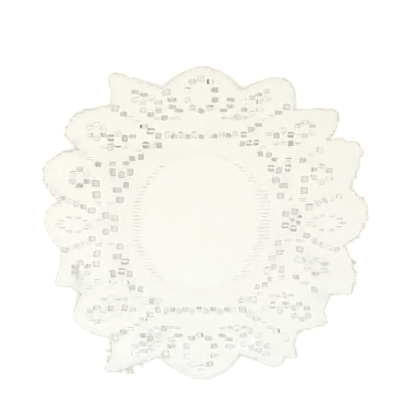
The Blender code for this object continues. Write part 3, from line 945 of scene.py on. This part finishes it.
def newGroup(name, inputs, outputs):
    # A node group that reads a place and the given numbers and puts out numbers.
    group = bpy.data.node_groups.new(name, "ShaderNodeTree")
    group.interface.new_socket("Vector", in_out="INPUT", socket_type="NodeSocketVector")
    for label, value in inputs.items():
        socket = group.interface.new_socket(label, in_out="INPUT", socket_type="NodeSocketFloat")
        socket.default_value = value
    for label in outputs:
        group.interface.new_socket(label, in_out="OUTPUT", socket_type="NodeSocketFloat")
    return group, group.nodes.new("NodeGroupInput").outputs, group.nodes.new("NodeGroupOutput")


def fill(tree, node, values):
    # Joins a socket to each of a node's inputs, or sets a number or a colour on it.
    for label, value in values.items():
        if isinstance(value, bpy.types.NodeSocket):
            tree.links.new(value, node.inputs[label])
        elif value is not None:
            node.inputs[label].default_value = value


def calc(tree, operation, *values):
    node = tree.nodes.new("ShaderNodeMath")
    node.operation = operation
    fill(tree, node, dict(enumerate(values)))
    return node.outputs[0]


def parted(tree, vector):
    # The x, y and z of a vector.
    node = tree.nodes.new("ShaderNodeSeparateXYZ")
    fill(tree, node, {0: vector})
    return node.outputs


def noiseAt(tree, place, scale, detail):
    node = tree.nodes.new("ShaderNodeTexNoise")
    fill(tree, node, {"Vector": place, "Scale": scale, "Detail": detail})
    return node.outputs


def makeKnitGroup():
    # Chains of loops up the cloth, with laid-in yarn across between them.
    inputs = {"Wale": knit["wale"], "Course": knit["course"], "Wander": knit["wander"]}
    group, given, result = newGroup("knitting", inputs, ("Height", "HollowShade"))
    place = parted(group, given["Vector"])
    shifts = parted(group, noiseAt(group, given["Vector"], knit["wanderScale"], 2)["Color"])
    stitches = []
    for axis, size in enumerate(("Wale", "Course")):
        shift = calc(group, "MULTIPLY", calc(group, "SUBTRACT", shifts[axis], 0.5), given["Wander"])
        moved = calc(group, "MULTIPLY_ADD", shift, knit["wanderReach"], place[axis])
        stitches.append(calc(group, "DIVIDE", moved, given[size]))
    u, v = stitches
    beside = calc(group, "PINGPONG", u, 0.5)  # 0 on a chain and 0.5 midway between two
    pillar = calc(group, "MULTIPLY_ADD", beside, -knit["pillarSlope"], 1.0)
    pillar = calc(group, "SMOOTH_MAX", pillar, 0.0, knit["pillarSoftness"])
    leg = calc(group, "MULTIPLY", calc(group, "MULTIPLY_ADD", beside, knit["legLean"], v), 2 * math.pi)
    loop = calc(group, "MULTIPLY_ADD", calc(group, "COSINE", leg), knit["loopDepth"], 1 - knit["loopDepth"])
    chain = calc(group, "MULTIPLY", pillar, loop)
    weft = calc(group, "MULTIPLY", v, 2.0)
    weft = calc(group, "MULTIPLY_ADD", calc(group, "FLOOR", u), knit["inlayStep"], weft)
    weft = calc(group, "ABSOLUTE", calc(group, "SINE", calc(group, "MULTIPLY", weft, math.pi)))
    inlay = calc(group, "MULTIPLY", calc(group, "POWER", weft, knit["inlayRoundness"]), knit["inlayHeight"])
    height = calc(group, "SMOOTH_MAX", chain, inlay, knit["softness"])
    # painted shade in the dips between the yarns, fullest where the knitting is lowest
    hollowShade = calc(group, "SUBTRACT", 1.0, calc(group, "MINIMUM", height, 1.0))
    fill(group, result, {"Height": height, "HollowShade": hollowShade})
    return group


def makeFuzzGroup():
    # Fibres standing off the yarn, and slow changes of shade over the cloth.
    inputs = {"Fibre": cotton["fibre"], "Patch": cotton["patch"], "Blot": cotton["blot"]}
    group, given, result = newGroup("yarnFuzz", inputs, ("Fibres", "Patches", "Mottle"))
    for scale, detail, output in (("Fibre", 3, "Fibres"), ("Patch", 2, "Patches"), ("Blot", 4, "Mottle")):
        fill(group, result, {output: noiseAt(group, given["Vector"], given[scale], detail)["Fac"]})
    return group


def mixColours(tree, share, low, high):
    node = tree.nodes.new("ShaderNodeMix")
    node.data_type = "RGBA"
    fill(tree, node, {0: share, 6: low, 7: high})
    return node.outputs[2]


def smoothed(tree, value, start, end, low, high):
    # Low up to the start and high from the end on, with a smooth change between them.
    node = tree.nodes.new("ShaderNodeMapRange")
    node.interpolation_type = "SMOOTHSTEP"
    fill(tree, node, dict(enumerate((value, start, end, low, high))))
    return node.outputs["Result"]


def nearShare(tree, distance, width, share, start=0.0):
    # The full share up to the start, falling smoothly to none at the width.
    return smoothed(tree, distance, start, width, share, 0.0)


def ladderShadeShare(tree, across, up):
    # How much painted shade the ladder ring gets for its thinner knitting, less the painted shade taken off
    # the closer knitting inside it.
    x = calc(tree, "DIVIDE", across, ladder["halfAcross"])
    y = calc(tree, "DIVIDE", up, ladder["halfUp"])
    reach = calc(tree, "ADD", calc(tree, "MULTIPLY", x, x), calc(tree, "MULTIPLY", y, y))
    reach = calc(tree, "SQRT", reach)
    away = calc(tree, "ABSOLUTE", calc(tree, "SUBTRACT", reach, 1.0))
    away = calc(tree, "MULTIPLY", away, ladder["halfAcross"])
    inside = nearShare(tree, reach, 1.0, ladder["lessShadeInside"], ladder["closerFrom"])
    return calc(tree, "SUBTRACT", nearShare(tree, away, ladder["shadeWidth"], ladder["shadeShare"]), inside)


def placedYarn(tree, up, patches):
    # White yarn low on the cloth and cream yarn high on it, up being in millimetres.
    patchy = calc(tree, "SUBTRACT", patches, 0.5)
    patchy = calc(tree, "MULTIPLY_ADD", patchy, cotton["creamPatches"], cotton["creamMiddle"])
    share = calc(tree, "MULTIPLY_ADD", up, cotton["creamUp"], patchy)
    share.node.use_clamp = True
    return mixColours(tree, share, cotton["white"], cotton["cream"])


def newMaterial(name):
    material = bpy.data.materials.new(name)
    material.use_nodes = True
    return material, material.node_tree, material.node_tree.nodes["Principled BSDF"]


def placedGroup(tree, group, place, values):
    node = tree.nodes.new("ShaderNodeGroup")
    node.node_tree = group
    fill(tree, node, {"Vector": place, **values})
    return node.outputs


def bumped(tree, height, depth, strength):
    node = tree.nodes.new("ShaderNodeBump")
    fill(tree, node, {"Height": height, "Distance": depth * mm, "Strength": strength})
    return node.outputs["Normal"]


def uvLayer(tree, name):
    node = tree.nodes.new("ShaderNodeUVMap")
    node.uv_map = name
    return node.outputs["UV"]


def makeLace(knitGroup, fuzzGroup):
    material, tree, shader = newMaterial("lace")
    pattern = uvLayer(tree, "pattern")
    across, up, _ = parted(tree, pattern)
    toEdge, toGap, _ = parted(tree, uvLayer(tree, "closeness"))
    thin, edgeShadeAmount, _ = parted(tree, uvLayer(tree, "thinness"))
    knitting = placedGroup(tree, knitGroup, pattern, {})
    fuzz = placedGroup(tree, fuzzGroup, pattern, {})
    # Painted shade: in the dips of the knitting and on the ladder ring, less inside the ring, mixed with
    # random mottling.
    shade = calc(tree, "MULTIPLY", fuzz["Mottle"], cotton["mottle"])
    shade = calc(tree, "MULTIPLY_ADD", knitting["HollowShade"], cotton["hollowShadeShare"], shade)
    shade = calc(tree, "ADD", shade, ladderShadeShare(tree, across, up))
    colour = mixColours(tree, shade, placedYarn(tree, up, fuzz["Patches"]), cotton["hollowShade"])
    # Painted highlight on the yarn round each gap.
    gapHighlightShare = nearShare(tree, toGap, cotton["gapHighlightWidth"], cotton["gapHighlightShare"])
    colour = mixColours(tree, gapHighlightShare, colour, cotton["gapHighlight"])
    # Painted shade where the knitting is thin.
    colour = mixColours(tree, thin, colour, cotton["thin"])
    # Painted shade along the cut edge and in a band inside it, less on the right side.
    edgeShadeShare = calc(tree, "ADD", nearShare(tree, toEdge, cotton["edgeShadeWidth"], cotton["edgeShadeShare"]),
                     nearShare(tree, toEdge, cotton["rimWidth"], cotton["rimShadeShare"]))
    edgeShadeShare = calc(tree, "MULTIPLY", edgeShadeShare, edgeShadeAmount)
    rougher = cotton["roughHigh"] - cotton["roughLow"]
    height = calc(tree, "MULTIPLY_ADD", fuzz["Fibres"], knit["fibreBump"], knitting["Height"])
    fill(tree, shader, {
        "Base Color": mixColours(tree, edgeShadeShare, colour, cotton["edge"]),
        "Roughness": calc(tree, "MULTIPLY_ADD", fuzz["Fibres"], rougher, cotton["roughLow"]),
        "Sheen Weight": cotton["sheen"],
        "Sheen Roughness": cotton["sheenRoughness"],
        "Specular IOR Level": cotton["specular"],
        "Normal": bumped(tree, height, knit["depth"], knit["bump"]),
    })
    return material


def makeYarn(name, fuzzGroup, other, otherShare):
    # Yarn of the cloth's own colours, mixed with another: painted shade for the edge and fray yarns, a
    # painted highlight for the veil threads.
    material, tree, shader = newMaterial(name)
    place = tree.nodes.new("ShaderNodeTexCoord").outputs["Object"]
    fuzz = placedGroup(tree, fuzzGroup, place, {"Fibre": cotton["yarnFibre"], "Patch": cotton["yarnPatch"]})
    up = calc(tree, "DIVIDE", parted(tree, place)[1], mm)
    share = calc(tree, "MULTIPLY", fuzz["Patches"], 2 * otherShare)
    fill(tree, shader, {
        "Base Color": mixColours(tree, share, placedYarn(tree, up, 0.5), other),
        "Roughness": cotton["roughHigh"],
        "Specular IOR Level": cotton["specular"],
        "Normal": bumped(tree, fuzz["Fibres"], cotton["yarnDepth"], 1.0),
    })
    return material


outline, picots = clothEdge()
patternMiddle = (outline.min(axis=0) + outline.max(axis=0)) / 2
gaps = cutGaps(outline)
print("pattern charted:", len(outline), "edge points,", len(gaps), "gaps")

fuzzGroup = makeFuzzGroup()
laceCloth, netArea = makeCloth(outline, gaps, makeLace(makeKnitGroup(), fuzzGroup))
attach(laceCloth, "root")
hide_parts("doily")

# The edge and fray yarns carry painted shade, the veil threads a painted highlight.
edgeYarn = makeYarn("edgeYarn", fuzzGroup, cotton["edge"], picot["shadeShare"])
frayYarn = makeYarn("frayYarn", fuzzGroup, cotton["edge"], fray["shadeShare"])
veilYarn = makeYarn("veilYarn", fuzzGroup, cotton["gapHighlight"], veil["highlightShare"])
strands = [
    makeStrands("picotLoops", picotPaths(picots), edgeYarn),
    makeStrands("frayedEnds", frayPaths(outline), frayYarn),
    makeStrands("veilThreads", veilPaths(gaps), veilYarn),
]
for piece in strands:
    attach(piece, "root")
print("strands made:", sum(len(piece.data.splines) for piece in strands))

studio = {
    "floorSize": 6.0,
    "floorColour": (0.95, 0.935, 0.875, 1),
    "floorRoughness": 0.9,
    "floorSpecular": 0.1,
    "horizonStrength": 2.14,
    "zenithStrength": 0.22,
    "zenithFrom": 0.2,  # heights on a sphere of 1 between which the light changes
    "zenithTo": 0.85,
    "lens": 200,
    "sensor": 36,
    "viewEnd": 20,
    "millimetresPerPixel": 0.635,
    "imageSide": 400,
    "doilyPixel": (201.5, 223.0),  # where the middle of the pattern is in the photograph
}

lamps = [
    # name, turn and height in degrees, distance and size in metres, power in watts
    ("key", 205, 28, 1.0, 0.6, 3.35),
    ("top", 115, 30, 1.5, 0.8, 4.7),
    ("right", 20, 30, 1.6, 0.8, 4.9),
    ("bottom", -65, 30, 1.5, 0.8, 4.1),
]


def makeFloor():
    half = studio["floorSize"] / 2
    mesh = bpy.data.meshes.new("floor")
    corners = [(-half, -half, 0), (half, -half, 0), (half, half, 0), (-half, half, 0)]
    mesh.from_pydata(corners, [], [(0, 1, 2, 3)])
    material, tree, shader = newMaterial("paleFloor")
    fill(tree, shader, {
        "Base Color": studio["floorColour"],
        "Roughness": studio["floorRoughness"],
        "Specular IOR Level": studio["floorSpecular"],
    })
    mesh.materials.append(material)
    floor = linked("floor", mesh)


def makeCamera():
    camera = bpy.data.cameras.new("camera")
    camera.lens = studio["lens"]
    camera.sensor_width = studio["sensor"]
    side = studio["imageSide"]
    width = side * studio["millimetresPerPixel"] * mm
    distance = width * studio["lens"] / studio["sensor"]
    camera.clip_end = studio["viewEnd"]
    obj = linked("camera", camera)
    offset = np.array([side / 2 - studio["doilyPixel"][0], studio["doilyPixel"][1] - side / 2])
    at = offset * studio["millimetresPerPixel"] - patternMiddle
    obj.location = (at[0] * mm, at[1] * mm, distance)
    bpy.context.scene.camera = obj


def makeLamps():
    for name, turn, height, distance, size, power in lamps:
        light = bpy.data.lights.new(name, "AREA")
        light.shape = "DISK"
        light.size = size
        light.energy = power
        lamp = linked(name, light)
        turn, height = math.radians(turn), math.radians(height)
        flat = distance * math.cos(height)
        lamp.location = (flat * math.cos(turn), flat * math.sin(turn), distance * math.sin(height))
        lamp.rotation_euler = (-lamp.location).to_track_quat("-Z", "Y").to_euler()


def makeSky():
    # Bright low down all round, so that the light grazes the cloth.
    world = bpy.data.worlds.new("studio")
    bpy.context.scene.world = world
    world.use_nodes = True
    tree = world.node_tree
    up = parted(tree, tree.nodes.new("ShaderNodeTexCoord").outputs["Generated"])[2]
    strength = smoothed(tree, up, studio["zenithFrom"], studio["zenithTo"],
                        studio["horizonStrength"], studio["zenithStrength"])
    fill(tree, tree.nodes["Background"], {"Color": (1, 1, 1, 1), "Strength": strength})


makeFloor()
makeCamera()
makeLamps()
makeSky()
bpy.context.scene.view_settings.view_transform = "Standard"
print("studio set")
